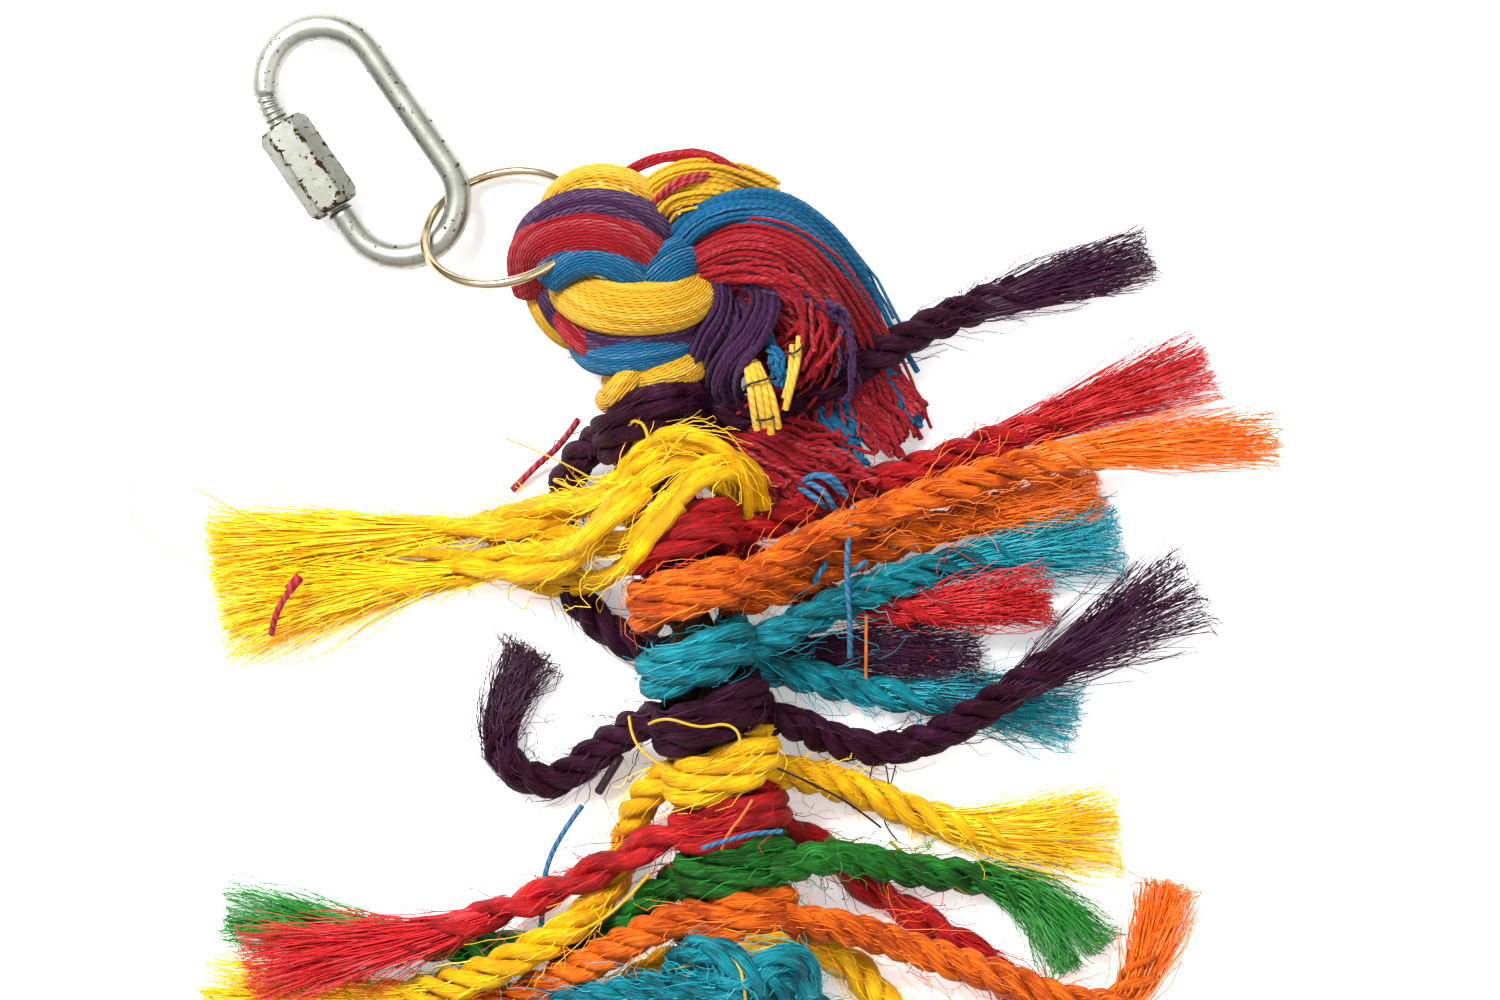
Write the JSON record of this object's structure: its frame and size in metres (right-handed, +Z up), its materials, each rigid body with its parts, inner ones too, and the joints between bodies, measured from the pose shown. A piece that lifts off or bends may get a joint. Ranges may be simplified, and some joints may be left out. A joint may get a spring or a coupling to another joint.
{
  "type": "hanging rope parrot toy",
  "caption": "Hanging parrot toy: a quick link and ring, a knotted cotton rope with a fringe, and knotted strips of brushed coloured sisal along a core rope.",
  "frame": {"origin": "middle of the toy's outline on the table that it lies on", "axes": "+Y up the toy towards the link, +X to its right seen from above, +Z up from the table"},
  "size_m": [0.1926, 0.2202, 0.0301],
  "materials": {
    "zinc_steel": "zinc-plated, dull, with specks of rust",
    "nickel_wire": "bright nickel",
    "cotton": "soft yarn in yellow, blue, red and purple",
    "sisal_core": "coarse dark yellow fibre",
    "sisal_purple": "coarse twisted purple fibre",
    "sisal_yellow": "coarse twisted yellow fibre",
    "sisal_red": "coarse twisted red fibre",
    "sisal_orange": "coarse twisted orange fibre",
    "sisal_teal": "coarse twisted teal fibre",
    "sisal_green": "coarse twisted green fibre"
  },
  "bodies": {
    "ropes": {"head_rope": "cotton", "core_rope": "sisal_core", "purple_rope_1": "sisal_purple", "yellow_rope_1": "sisal_yellow", "red_rope_1": "sisal_red", "orange_rope_1": "sisal_orange", "teal_rope_1": "sisal_teal", "purple_rope_2": "sisal_purple", "yellow_rope_2": "sisal_yellow", "red_rope_2": "sisal_red", "green_rope": "sisal_green", "orange_rope_2": "sisal_orange", "yellow_rope_3": "sisal_yellow", "teal_rope_2": "sisal_teal", "purple_rope_3": "sisal_purple"},
    "ring": {"ring": "nickel_wire"},
    "link": {"link_rod": "zinc_steel"},
    "nut": {"nut": "zinc_steel"}
  },
  "joints": [
    {"name": "ring_swing", "type": "hinge", "parent": "ropes", "child": "ring", "pos_m": [-0.02783, 0.0728, 0.01541], "axis": [0.0676, 0.716, -0.6948], "range_deg": [-40, 90]},
    {"name": "link_swing", "type": "hinge", "parent": "ring", "child": "link", "pos_m": [-0.05456, 0.06823, 0.00692], "axis": [0.8162, 0.5676, 0.1079], "range_deg": [0, 85]},
    {"name": "nut_travel", "type": "slide", "parent": "link", "child": "nut", "axis": [-0.5675, 0.8226, -0.0349], "range_m": [0, 0.005]}
  ]
}
